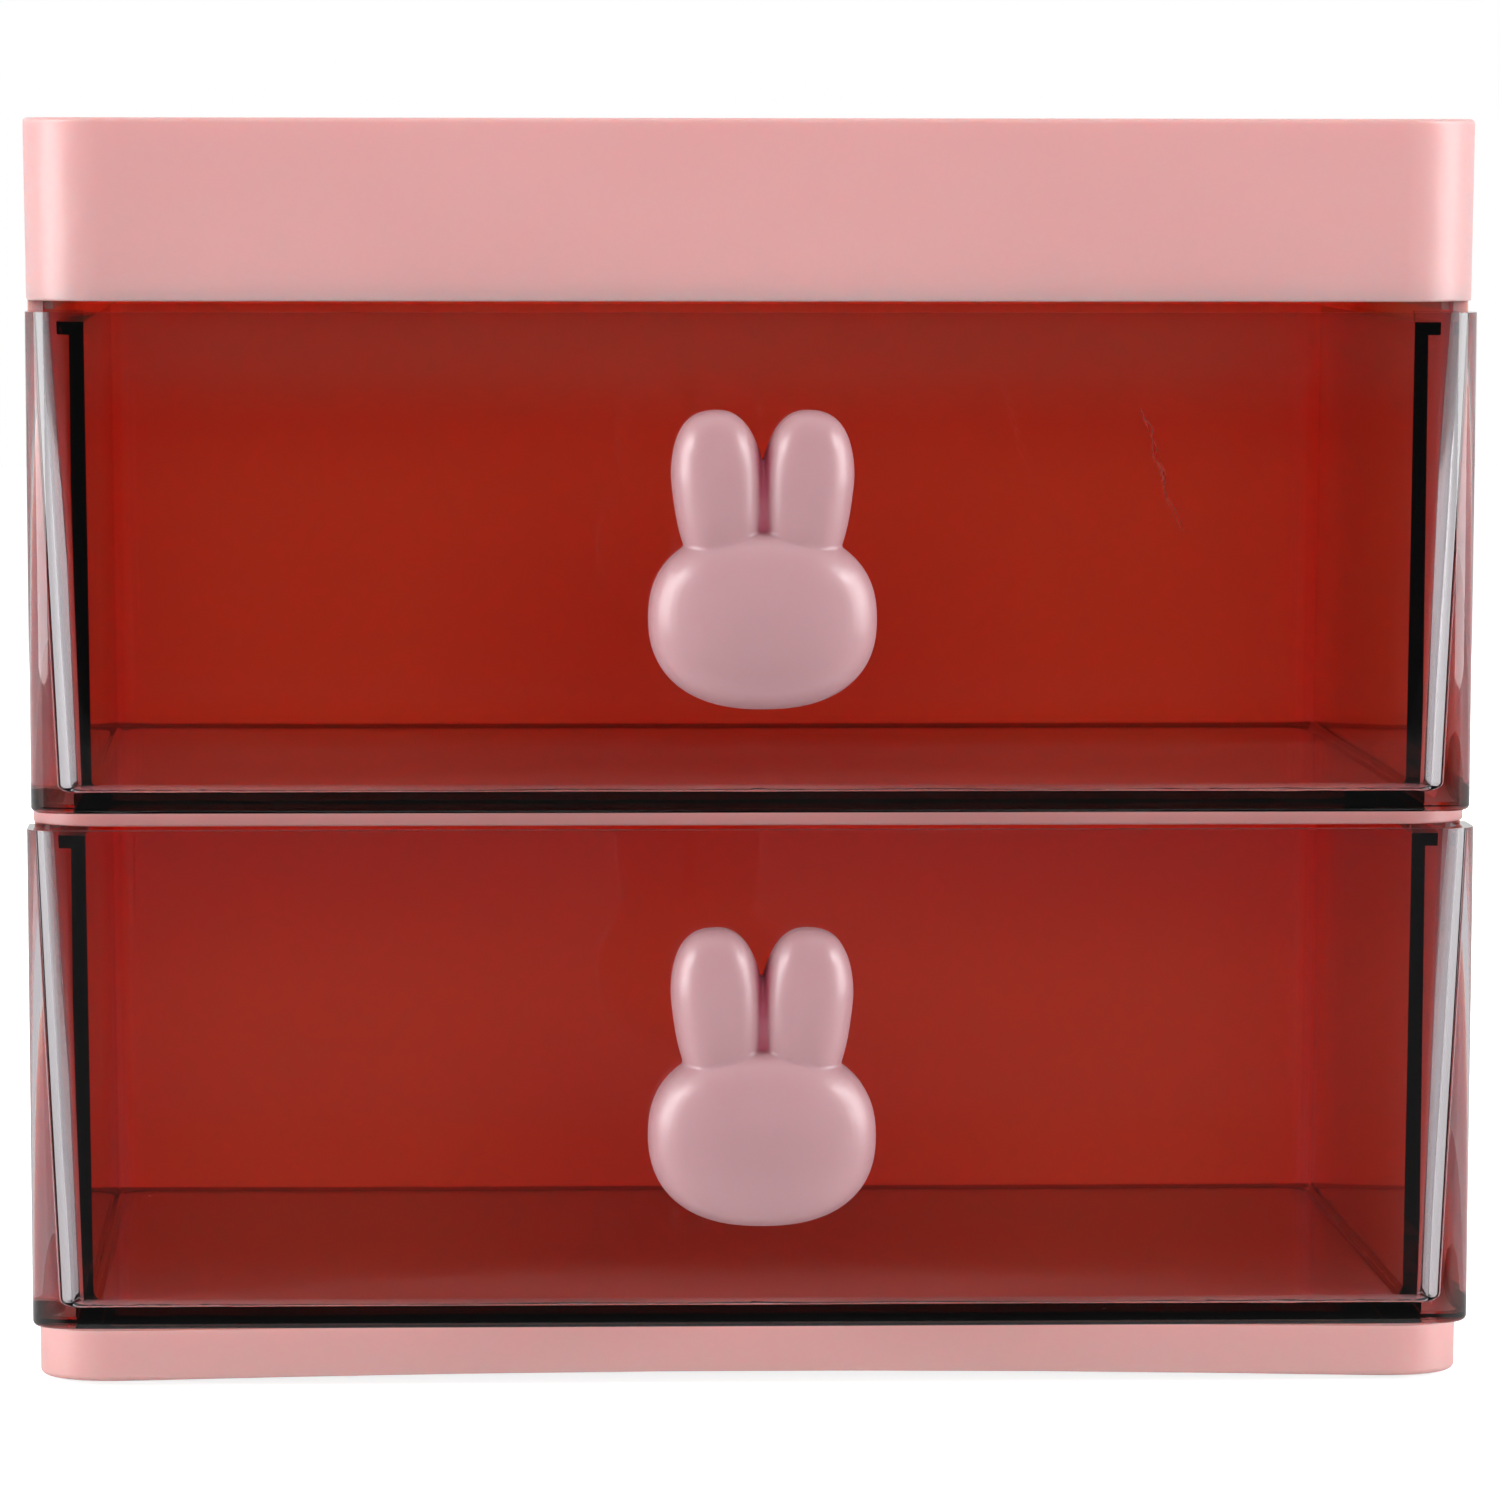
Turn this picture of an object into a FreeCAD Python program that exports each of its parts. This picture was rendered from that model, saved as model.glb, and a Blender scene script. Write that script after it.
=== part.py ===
import FreeCAD, Part
import os

import Sketcher
from FreeCAD import Rotation, Vector

# Desktop drawer organizer: a tray on two stacked cases, each with a clear drawer that slides out.
# X runs to the right, Y to the back and Z up. The origin is on the floor, under the middle of the
# box round the whole object. Lengths are in millimetres and angles in degrees.
SIZES = {
    # The tray on top, whose rim is the largest outline of the object
    "rim_width": 180.0,
    "rim_depth": 135.0,
    "corner_radius": 10.5,
    "tray_height": 22.5,
    "tray_draft": 0.95,
    "tray_wall": 1.9,
    "tray_floor": 1.9,
    "tray_cove": 1.5,
    "rim_round": 0.6,
    # The two cases, which taper downwards and step in a little at each seam
    "case_draft": 0.47,
    "case_wall": 1.9,
    "seam_step": 0.1,
    "seam_round": 0.3,
    "shelf_thickness": 1.6,
    "base_floor": 1.8,
    "skirt_height": 6.8,
    "skirt_arch": 1.0,
    "skirt_round": 0.8,
    "lip_drop": 0.65,
    # The rib under the tray and under the upper case, which locates each on the case below
    "rib_height": 1.2,
    "rib_width": 1.0,
    "rib_gap": 0.1,
    "rib_start": 3.0,
    # The beads on the ribs, and the grooves that they click into
    "bead_radius": 0.35,
    "bead_length": 14.0,
    "bead_spread": 60.0,
    "bead_gap": 0.1,
    # The anti-slip pads and their seats
    "pad_diameter": 10.0,
    "pad_thickness": 1.5,
    "pad_standout": 0.6,
    "pad_recess": 0.7,
    "pad_gap": 0.1,
    "seat_wall": 1.6,
    "pad_inset": 16.0,
    # The drawers
    "drawer_height": 61.6,
    "drawer_draft": 0.47,
    "slide_gap": 0.1,
    "upper_head_gap": 1.3,
    "lower_head_gap": 0.4,
    "front_setback": 0.45,
    "front_proud": 1.5,
    "front_depth": 13.0,
    "front_radius": 5.0,
    "front_wall": 2.2,
    "front_round": 0.7,
    "return_top": 2.1,
    "return_foot": 3.9,
    "shoulder_wall": 1.8,
    "shoulder_gap": 0.3,
    "box_inset": 5.2,
    "box_wall": 1.8,
    "box_floor": 2.4,
    "box_radius": 6.0,
    "box_drop": 1.4,
    "cavity_draft": 0.8,
    "floor_round": 1.2,
    "flange_reach": 1.8,
    "flange_thickness": 1.6,
    "back_gap": 1.5,
    # The rabbit-head knobs
    "knob_reach": 11.0,
    "knob_shift": 0.9,
    "knob_lift": 0.6,
    "head_width": 28.0,
    "head_height": 22.2,
    "head_round": 6.0,
    "ear_length": 21.5,
    "ear_width": 10.7,
    "ear_foot": 8.8,
    "ear_tilt": 4.5,
    "ear_spread": 4.95,
    "ear_thickness": 8.5,
    "ear_round": 4.0,
    "ear_overlap": 7.0,
    # The screw, washer and pin that hold each knob
    "screw_diameter": 3.0,
    "screw_length": 8.0,
    "screw_tip": 1.2,
    "screw_head_diameter": 5.6,
    "screw_head_height": 2.0,
    "screw_head_round": 0.8,
    "cross_width": 0.9,
    "cross_span": 3.2,
    "cross_depth": 1.1,
    "washer_diameter": 7.0,
    "washer_thickness": 0.6,
    "screw_clearance": 0.4,
    "thread_bite": 0.2,
    "pilot_spare": 1.0,
    "pin_diameter": 2.4,
    "pin_length": 1.8,
    "pin_gap": 0.2,
    "pin_rise": 7.5,
}

# Levels, from the floor up
SKIRT_FOOT = "sizes.pad_standout"
BASE_TOP = f"({SKIRT_FOOT} + sizes.skirt_height)"
BASE_UNDER = f"({BASE_TOP} - sizes.base_floor)"
LOWER_DRAWER = f"({BASE_TOP} + sizes.slide_gap)"
SHELF_UNDER = f"({LOWER_DRAWER} + sizes.drawer_height + sizes.lower_head_gap)"
SHELF_TOP = f"({SHELF_UNDER} + sizes.shelf_thickness)"
UPPER_DRAWER = f"({SHELF_TOP} + sizes.slide_gap)"
TRAY_UNDER = f"({UPPER_DRAWER} + sizes.drawer_height + sizes.upper_head_gap)"
RIM = f"({TRAY_UNDER} + sizes.tray_height)"

# How far the outline of each case's top stands in from the rim's outline
UPPER_INSET = "(sizes.tray_height * tan(sizes.tray_draft) + sizes.seam_step)"
LOWER_INSET = f"({UPPER_INSET} + ({TRAY_UNDER} - {SHELF_UNDER}) * tan(sizes.case_draft) + sizes.seam_step)"

# Places along the depth
RIM_FRONT = "((sizes.knob_reach + sizes.front_proud - sizes.rim_depth) / 2)"
RIM_BACK = f"({RIM_FRONT} + sizes.rim_depth)"
DRAWER_FRONT = f"({RIM_FRONT} - sizes.front_proud)"
SHOULDER = f"({DRAWER_FRONT} + sizes.front_depth)"
WALL_FRONT = f"({SHOULDER} + sizes.shoulder_gap)"
BOX_BACK = f"({RIM_BACK} - {LOWER_INSET} - sizes.case_wall - sizes.back_gap - sizes.flange_reach)"

# Widths and heights of a drawer, and the middle of its knob
FRONT_WIDTH = "(sizes.rim_width - 2 * sizes.front_setback)"
BOX_WIDTH = f"({FRONT_WIDTH} - 2 * sizes.box_inset)"
BOX_HEIGHT = "(sizes.drawer_height - sizes.box_drop)"
INNER_FACE = f"({DRAWER_FRONT} + sizes.front_wall)"
KNOB_HEIGHT = "(sizes.head_height + sizes.ear_length - sizes.ear_overlap)"
KNOB_LEVEL = "(sizes.drawer_height / 2 + sizes.knob_lift)"
HEAD_LEVEL = f"({KNOB_LEVEL} - ({KNOB_HEIGHT} - sizes.head_height) / 2)"

os.makedirs("parts", exist_ok=True)
doc = FreeCAD.newDocument("drawer_organizer")
sheet = doc.addObject("Spreadsheet::Sheet", "sizes")
for row, (alias, number) in enumerate(SIZES.items(), start=1):
    sheet.set(f"A{row}", alias)
    sheet.set(f"B{row}", str(number))
    sheet.setAlias(f"B{row}", alias)
doc.recompute()


def value(expression):
    """The number that an expression over the sheet comes to."""
    return float(sheet.evalExpression(expression))


def new_sketch(body, name, plane="XY_Plane", up="0", out="0", across="0"):
    """A sketch on one of the body's origin planes, moved across and up it, and out from it."""
    sketch = body.newObject("Sketcher::SketchObject", name)
    origin_plane = next(feature for feature in body.Origin.OriginFeatures if feature.Role == plane)
    sketch.AttachmentSupport = [(origin_plane, "")]
    sketch.MapMode = "FlatFace"
    sketch.setExpression("AttachmentOffset.Base.x", across)
    sketch.setExpression("AttachmentOffset.Base.y", up)
    sketch.setExpression("AttachmentOffset.Base.z", out)
    return sketch


def hold(sketch, kind, *where):
    sketch.addConstraint(Sketcher.Constraint(kind, *where))


def bind(sketch, kind, *where, to):
    """Add a dimension to a sketch and bind it to an expression."""
    index = sketch.addConstraint(Sketcher.Constraint(kind, *where, value(to)))
    sketch.setExpression(f"Constraints[{index}]", to)


def fix(sketch, geometry, point, across, up):
    """Bind a point's place in a sketch to two expressions, each of which may be negative."""
    for kind, axis, place in (("DistanceX", -2, across), ("DistanceY", -1, up)):
        if place == "0":
            hold(sketch, "PointOnObject", geometry, point, axis)
        elif value(place) > 0:
            bind(sketch, kind, -1, 1, geometry, point, to=place)
        else:
            bind(sketch, kind, geometry, point, -1, 1, to=f"(0 - {place})")


def polygon(sketch, corners):
    """Closed straight lines through corners that are pairs of expressions."""
    points = [Vector(value(across), value(up)) for across, up in corners]
    ends = zip(points, points[1:] + points[:1])
    lines = [sketch.addGeometry(Part.LineSegment(start, end)) for start, end in ends]
    for number, (across, up) in enumerate(corners):
        hold(sketch, "Coincident", lines[number - 1], 2, lines[number], 1)
        fix(sketch, lines[number], 1, across, up)
    return lines


def box_outline(body, name, width, front, depth, level, front_radius=None, back_radius=None):
    """A level outline that is even about the middle, with rounded or square corners."""
    sketch = new_sketch(body, name, up=front, out=level)
    half, deep = value(width) / 2, value(depth)
    radii = [value(radius) if radius else 0.0 for radius in (front_radius, back_radius)]
    corners = [(half, 0, radii[0]), (half, deep, radii[1]), (-half, deep, radii[1]), (-half, 0, radii[0])]
    starts, stops = [], []
    for number, (across, up, radius) in enumerate(corners):
        before, after = corners[number - 1], corners[(number + 1) % 4]
        corner = Vector(across, up)
        starts.append(corner + radius * (Vector(*before[:2]) - corner).normalize())
        stops.append(corner + radius * (Vector(*after[:2]) - corner).normalize())
    sides = [sketch.addGeometry(Part.LineSegment(stops[number - 1], starts[number])) for number in range(4)]
    arcs = []
    for number, (across, up, radius) in enumerate(corners):
        before, after = sides[number], sides[(number + 1) % 4]
        if not radius:
            hold(sketch, "Coincident", before, 2, after, 1)
            arcs.append(None)
            continue
        corner = Vector(across, up)
        centre = starts[number] + stops[number] - corner
        bulge = centre + radius * (corner - centre).normalize()
        arcs.append(sketch.addGeometry(Part.Arc(starts[number], bulge, stops[number])))
        hold(sketch, "Tangent", before, 2, arcs[number], 1)
        hold(sketch, "Tangent", arcs[number], 2, after, 1)
    for side, direction in zip(sides[1:], ("Vertical", "Horizontal", "Vertical")):
        hold(sketch, direction, side)
    hold(sketch, "Symmetric", sides[0], 1, sides[0], 2, -2)
    hold(sketch, "PointOnObject", sides[0], 1, -1)
    bind(sketch, "DistanceX", sides[3], 1, sides[1], 1, to=width)
    bind(sketch, "DistanceY", sides[0], 1, sides[2], 1, to=depth)
    for pair, radius in (((0, 3), front_radius), ((1, 2), back_radius)):
        if radius:
            hold(sketch, "Equal", arcs[pair[0]], arcs[pair[1]])
            bind(sketch, "Radius", arcs[pair[0]], to=radius)
    return sketch


def rim_outline(body, name, inset, level):
    """The rim's outline, drawn in by an inset."""
    radius = f"max(0.5; sizes.corner_radius - {inset})"
    width, depth = f"(sizes.rim_width - 2 * {inset})", f"(sizes.rim_depth - 2 * {inset})"
    return box_outline(body, name, width, f"({RIM_FRONT} + {inset})", depth, level, radius, radius)


def circles(body, name, centres, diameters, plane="XY_Plane", out="0"):
    """A sketch of circles of each diameter round each centre, a pair of expressions."""
    sketch = new_sketch(body, name, plane, out=out)
    for across, up in centres:
        for diameter in diameters:
            centre = Vector(value(across), value(up))
            circle = sketch.addGeometry(Part.Circle(centre, Vector(0, 0, 1), value(diameter) / 2))
            fix(sketch, circle, 3, across, up)
            bind(sketch, "Diameter", circle, to=diameter)
    return sketch


def pad(body, name, sketch, length, draft=None, reverse=False):
    """Pad a sketch, narrowing with a draft."""
    feature = body.newObject("PartDesign::Pad", name)
    feature.Profile = sketch
    feature.Reversed = reverse
    feature.setExpression("Length", length)
    if draft:
        feature.setExpression("TaperAngle", f"-{draft}")
    doc.recompute()
    return feature


def pocket(body, name, sketch, length, draft=None, reverse=False):
    """Pocket a sketch, narrowing with a draft, and see that it takes something away."""
    before = body.Tip.Shape.Volume
    feature = body.newObject("PartDesign::Pocket", name)
    feature.Profile = sketch
    feature.Reversed = reverse
    feature.setExpression("Length", length)
    if draft:
        feature.setExpression("TaperAngle", f"-{draft}")
    doc.recompute()
    if not feature.Shape.Volume < before:
        raise RuntimeError(f"{name} takes nothing away from {body.Name}")
    return feature


def loft(body, name, kind, profile, section):
    """An additive or subtractive loft between two sketches."""
    feature = body.newObject(f"PartDesign::{kind}Loft", name)
    feature.Profile = profile
    feature.Sections = [section]
    feature.Ruled = True
    doc.recompute()
    return feature


def soften(body, name, radius, chosen):
    """Round the edges of the body so far that a test chooses."""
    base = body.Tip
    edges = [f"Edge{number}" for number, edge in enumerate(base.Shape.Edges, start=1) if chosen(edge)]
    feature = body.newObject("PartDesign::Fillet", name)
    feature.Base = (base, edges)
    feature.setExpression("Radius", radius)
    doc.recompute()
    return feature


def lies_level(edge, level, slack=0.01):
    box = edge.BoundBox
    return abs(box.ZMin - level) < slack and abs(box.ZMax - level) < slack


def arched(body, name, level, half_width, rise, far):
    """An upright field between an arch that crowns at a level and a far edge above or below it.

    The arch falls by the rise towards both sides, and the far edge's height is from the level."""
    sketch = new_sketch(body, name, "XZ_Plane", level, f"(1 - {RIM_FRONT})")
    half, fall, height = value(half_width), value(rise), value(far)
    corners = [Vector(half, -fall), Vector(half, height), Vector(-half, height), Vector(-half, -fall)]
    sides = [sketch.addGeometry(Part.LineSegment(*pair)) for pair in zip(corners, corners[1:])]
    arch = sketch.addGeometry(Part.Arc(corners[0], Vector(0, 0), corners[3]))
    for first, second in zip(sides, sides[1:]):
        hold(sketch, "Coincident", first, 2, second, 1)
    hold(sketch, "Coincident", arch, 1, sides[0], 1)
    hold(sketch, "Coincident", arch, 2, sides[2], 2)
    hold(sketch, "PointOnObject", arch, 3, -2)
    hold(sketch, "PointOnObject", -1, 1, arch)
    fix(sketch, sides[0], 1, half_width, f"(0 - {rise})")
    fix(sketch, sides[1], 1, half_width, far)
    fix(sketch, sides[1], 2, f"(0 - {half_width})", far)
    return sketch


def open_front(body, level, height, floor=None):
    """Cut the front wall away above a level, back to the front edges of the side walls."""
    half = "(sizes.rim_width / 2)"
    if floor:
        field = arched(body, "front_field", level, half, floor, height)
    else:
        field = new_sketch(body, "front_field", "XZ_Plane", level, f"(1 - {RIM_FRONT})")
        polygon(field, [(half, "0"), (half, height), (f"(0 - {half})", height), (f"(0 - {half})", "0")])
    pocket(body, "front_opening", field, f"({WALL_FRONT} - {RIM_FRONT} + 1)")


def bead_places(inset, level):
    """The middles of the snap beads, across and up, in a seam whose case's top has this inset."""
    reach = f"(sizes.rim_width / 2 - {inset} - sizes.case_wall - sizes.rib_gap)"
    middle = f"({level} - sizes.rib_height / 2)"
    return [(reach, middle), (f"(0 - {reach})", middle)]


def bead_starts():
    """Where along the depth each pair of beads starts."""
    centre = f"(({RIM_FRONT} + {RIM_BACK}) / 2 - sizes.bead_length / 2)"
    return {"front": f"({centre} - sizes.bead_spread / 2)", "rear": f"({centre} + sizes.bead_spread / 2)"}


def grooves(body, inset, level):
    """The grooves near the top of a case's side walls, which the beads above click into."""
    for where, start in bead_starts().items():
        sketch = circles(body, f"{where}_groove_section", bead_places(inset, level),
                         ["(2 * (sizes.bead_radius + sizes.bead_gap))"], "XZ_Plane", f"(0 - {start})")
        pocket(body, f"{where}_grooves", sketch, "(sizes.bead_length + sizes.bead_gap)")


def seam_rib(body, inset, level):
    """The rib under a floor, which stands inside the side and back walls of the case below."""
    reach = f"({inset} + sizes.case_wall + sizes.rib_gap)"
    front = f"({WALL_FRONT} + sizes.rib_start)"
    outer = box_outline(body, "rib_outside", f"(sizes.rim_width - 2 * {reach})", front,
                        f"({RIM_BACK} - {reach} - {front})", level,
                        back_radius=f"max(1; sizes.corner_radius - {reach})")
    pad(body, "rib_block", outer, "sizes.rib_height", reverse=True)
    inside = f"({reach} + sizes.rib_width)"
    inner = box_outline(body, "rib_inside", f"(sizes.rim_width - 2 * {inside})", f"({front} - 1)",
                        f"({RIM_BACK} - {inside} - {front} + 1)", f"({level} - sizes.rib_height)",
                        back_radius=f"max(0.5; sizes.corner_radius - {inside})")
    pocket(body, "rib", inner, "sizes.rib_height", reverse=True)
    for where, start in bead_starts().items():
        sketch = circles(body, f"{where}_bead_section", bead_places(inset, level),
                         ["(2 * sizes.bead_radius)"], "XZ_Plane", f"(0 - {start})")
        pad(body, f"{where}_beads", sketch, "sizes.bead_length", reverse=True)


def top_tray():
    body = doc.addObject("PartDesign::Body", "top_tray")
    pad(body, "block", rim_outline(body, "rim", "0", RIM), "sizes.tray_height", "sizes.tray_draft",
        reverse=True)
    pocket(body, "room", rim_outline(body, "room_rim", "sizes.tray_wall", RIM),
           "(sizes.tray_height - sizes.tray_floor)", "sizes.tray_draft")
    floor, rim, under = value(f"({TRAY_UNDER} + sizes.tray_floor)"), value(RIM), value(TRAY_UNDER)
    soften(body, "cove", "sizes.tray_cove", lambda edge: lies_level(edge, floor))
    soften(body, "rim_edges", "sizes.rim_round", lambda edge: lies_level(edge, rim))
    soften(body, "seam_edge", "sizes.seam_round", lambda edge: lies_level(edge, under))
    seam_rib(body, UPPER_INSET, TRAY_UNDER)
    return body


def upper_case():
    body = doc.addObject("PartDesign::Body", "upper_case")
    inner = f"({UPPER_INSET} + sizes.case_wall)"
    pad(body, "block", rim_outline(body, "top_outside", UPPER_INSET, TRAY_UNDER),
        f"({TRAY_UNDER} - {SHELF_UNDER})", "sizes.case_draft", reverse=True)
    pocket(body, "room", rim_outline(body, "top_inside", inner, TRAY_UNDER),
           f"({TRAY_UNDER} - {SHELF_TOP})", "sizes.case_draft")
    open_front(body, SHELF_TOP, f"({TRAY_UNDER} - {SHELF_TOP} + 1)")
    under = value(SHELF_UNDER)
    soften(body, "seam_edge", "sizes.seam_round", lambda edge: lies_level(edge, under))
    grooves(body, UPPER_INSET, TRAY_UNDER)
    seam_rib(body, LOWER_INSET, SHELF_UNDER)
    return body


def pad_centres():
    across = "(sizes.rim_width / 2 - sizes.pad_inset)"
    front, rear = f"({RIM_FRONT} + sizes.pad_inset)", f"({RIM_BACK} - sizes.pad_inset)"
    return {
        "front_left": (f"(0 - {across})", front),
        "front_right": (across, front),
        "rear_left": (f"(0 - {across})", rear),
        "rear_right": (across, rear),
    }


def lower_case():
    body = doc.addObject("PartDesign::Body", "lower_case")
    inner = f"({LOWER_INSET} + sizes.case_wall)"
    height = f"({SHELF_UNDER} - {SKIRT_FOOT})"
    pad(body, "block", rim_outline(body, "top_outside", LOWER_INSET, SHELF_UNDER), height,
        "sizes.case_draft", reverse=True)
    pocket(body, "room", rim_outline(body, "top_inside", inner, SHELF_UNDER),
           f"({SHELF_UNDER} - {BASE_TOP})", "sizes.case_draft")
    foot = value(SKIRT_FOOT)
    soften(body, "skirt_edge", "sizes.skirt_round", lambda edge: lies_level(edge, foot))
    skirt_inside = f"({inner} + {height} * tan(sizes.case_draft))"
    pocket(body, "hollow", rim_outline(body, "hollow_outline", skirt_inside, SKIRT_FOOT),
           f"({BASE_UNDER} - {SKIRT_FOOT})", reverse=True)
    open_front(body, BASE_TOP, f"({SHELF_UNDER} - {BASE_TOP} + 1)", "sizes.lip_drop")
    arch = arched(body, "skirt_field", f"({SKIRT_FOOT} + sizes.skirt_arch)",
                  "(sizes.rim_width / 2 - sizes.corner_radius)", "sizes.skirt_arch",
                  "(0 - sizes.skirt_arch - 1)")
    pocket(body, "skirt_arches", arch, "(sizes.rim_depth + 2)")
    seat_face = "(sizes.pad_thickness - sizes.pad_recess)"
    recess = "(sizes.pad_diameter + 2 * sizes.pad_gap)"
    seats = circles(body, "seat_outlines", pad_centres().values(), [f"({recess} + 2 * sizes.seat_wall)"],
                    out=BASE_UNDER)
    pad(body, "seats", seats, f"({BASE_UNDER} - {seat_face})", reverse=True)
    recesses = circles(body, "recess_outlines", pad_centres().values(), [recess], out=seat_face)
    pocket(body, "recesses", recesses, "sizes.pad_recess", reverse=True)
    grooves(body, LOWER_INSET, SHELF_UNDER)
    return body


def foot_pad(where, across, along):
    """A round anti-slip pad, stuck in its seat under the base."""
    disc = doc.addObject("Part::Cylinder", f"foot_pad_{where}")
    disc.setExpression("Radius", "sizes.pad_diameter / 2")
    disc.setExpression("Height", "sizes.pad_thickness")
    disc.setExpression("Placement.Base.x", across)
    disc.setExpression("Placement.Base.y", along)
    return disc


def drawer(name, level):
    """A clear drawer, one moulding: a wide front with rounded corners, and a narrower box behind."""
    body = doc.addObject("PartDesign::Body", name)
    body.setExpression("Placement.Base.z", level)
    top, floor = "sizes.drawer_height", "sizes.box_floor"
    lean = "tan(sizes.drawer_draft)"
    room = f"({top} - {floor})"

    loft(body, "front", "Additive",
         box_outline(body, "front_top", FRONT_WIDTH, DRAWER_FRONT, "sizes.front_depth", top,
                     "sizes.front_radius"),
         box_outline(body, "front_foot", f"({FRONT_WIDTH} - 2 * {top} * {lean})", DRAWER_FRONT,
                     "sizes.front_depth", "0", "sizes.front_radius"))

    web = f"({SHOULDER} - sizes.shoulder_wall)"
    length = f"({BOX_BACK} - {web})"
    loft(body, "box", "Additive",
         box_outline(body, "box_top", BOX_WIDTH, web, length, BOX_HEIGHT, back_radius="sizes.box_radius"),
         box_outline(body, "box_foot", f"({BOX_WIDTH} - 2 * {BOX_HEIGHT} * {lean})", web,
                     f"({length} - {BOX_HEIGHT} * {lean})", "0", back_radius="sizes.box_radius"))
    pad(body, "flange",
        box_outline(body, "flange_outline", f"({BOX_WIDTH} + 2 * sizes.flange_reach)", web,
                    f"({length} + sizes.flange_reach)", BOX_HEIGHT,
                    back_radius="(sizes.box_radius + sizes.flange_reach)"),
        "sizes.flange_thickness", reverse=True)
    soften(body, "foot_edges", "sizes.front_round", lambda edge: lies_level(edge, 0.0))

    inside_lean = "tan(sizes.cavity_draft)"
    inside_width = f"({BOX_WIDTH} - 2 * sizes.box_wall)"
    inside_front = f"({web} - 1)"
    inside_length = f"({BOX_BACK} - sizes.box_wall - {inside_front})"
    inside_radius = "max(0.5; sizes.box_radius - sizes.box_wall)"
    loft(body, "box_room", "Subtractive",
         box_outline(body, "room_top", inside_width, inside_front, inside_length, top,
                     back_radius=inside_radius),
         box_outline(body, "room_foot", f"({inside_width} - 2 * {room} * {inside_lean})", inside_front,
                     f"({inside_length} - {room} * {inside_lean})", floor, back_radius=inside_radius))
    front_room = "(sizes.front_depth - sizes.front_wall - sizes.shoulder_wall)"
    room_radius = "max(0.5; sizes.front_radius - sizes.front_wall)"
    foot_width = f"({FRONT_WIDTH} - 2 * {room} * {lean} - 2 * sizes.return_foot)"
    loft(body, "front_room", "Subtractive",
         box_outline(body, "front_room_top", f"({FRONT_WIDTH} - 2 * sizes.return_top)", INNER_FACE,
                     front_room, top, room_radius),
         box_outline(body, "front_room_foot", foot_width, INNER_FACE, front_room, floor, room_radius))
    soften(body, "floor_coves", "sizes.floor_round",
           lambda edge: lies_level(edge, value(floor)))

    before = f"(1 - {DRAWER_FRONT})"
    screw_hole = circles(body, "screw_hole_outline", [("sizes.knob_shift", HEAD_LEVEL)],
                         ["(sizes.screw_diameter + sizes.screw_clearance)"], "XZ_Plane", before)
    pocket(body, "screw_hole", screw_hole, "(sizes.front_wall + 2)")
    pin_hole = circles(body, "pin_hole_outline", [("sizes.knob_shift", f"({HEAD_LEVEL} + sizes.pin_rise)")],
                       ["(sizes.pin_diameter + sizes.pin_gap)"], "XZ_Plane", before)
    pocket(body, "pin_hole", pin_hole, "(sizes.front_wall + 2)")
    return body


def rod(name, diameter, length, along, level, forward):
    """A round rod along the depth, at the middle of the knob, that starts at a place along it."""
    piece = doc.addObject("Part::Cylinder", name)
    piece.Placement = FreeCAD.Placement(Vector(), Rotation(Vector(1, 0, 0), 90 if forward else -90))
    piece.setExpression("Radius", f"{diameter} / 2")
    piece.setExpression("Height", length)
    piece.setExpression("Placement.Base.x", "sizes.knob_shift")
    piece.setExpression("Placement.Base.y", along)
    piece.setExpression("Placement.Base.z", level)
    return piece


def knob_head(name):
    """The rabbit's head: an oval pillow with a flat back."""
    body = doc.addObject("PartDesign::Body", f"{name}_head")
    sketch = new_sketch(body, "head_outline", "XZ_Plane", HEAD_LEVEL, f"(0 - {DRAWER_FRONT})",
                        "sizes.knob_shift")
    half_width, half_height = value("sizes.head_width") / 2, value("sizes.head_height") / 2
    oval = sketch.addGeometry(Part.Ellipse(Vector(half_width, 0), Vector(0, half_height), Vector()))
    sketch.exposeInternalGeometry(oval)
    hold(sketch, "Coincident", oval, 3, -1, 1)
    hold(sketch, "Horizontal", oval + 1)
    bind(sketch, "Distance", oval + 1, to="sizes.head_width")
    bind(sketch, "Distance", oval + 2, to="sizes.head_height")
    pad(body, "head", sketch, "sizes.knob_reach")
    face = value(f"({DRAWER_FRONT} - sizes.knob_reach)")
    soften(body, "head_crown", "sizes.head_round", lambda edge: abs(edge.BoundBox.YMax - face) < 0.01)
    return body


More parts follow.
